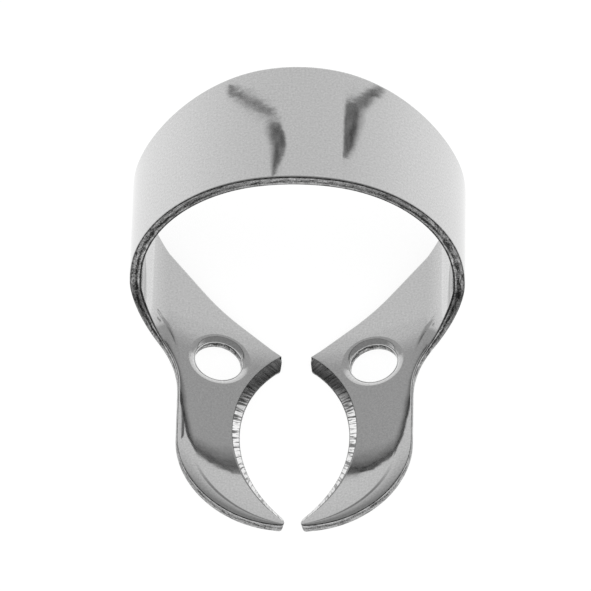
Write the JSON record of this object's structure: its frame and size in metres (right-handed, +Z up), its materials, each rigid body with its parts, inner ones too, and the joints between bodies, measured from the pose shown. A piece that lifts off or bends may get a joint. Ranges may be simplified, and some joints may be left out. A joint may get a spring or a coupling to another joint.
{
  "type": "rubber dam clamp",
  "caption": "Spring steel dental clamp of bent strip: an arched bow with two hooked jaws that grip a tooth's neck, each with a forceps hole.",
  "frame": {"origin": "on the table under the middle of the clamp's box, as it lies on its rear prongs and the feet of its bow", "axes": "+X across the two jaws, +Y from the jaws' tips towards the bow's back, +Z up"},
  "size_m": [0.0224, 0.0302, 0.0142],
  "materials": {
    "steel": "polished stainless spring steel"
  },
  "bodies": {
    "root": {"clamp": "steel"}
  },
  "joints": []
}
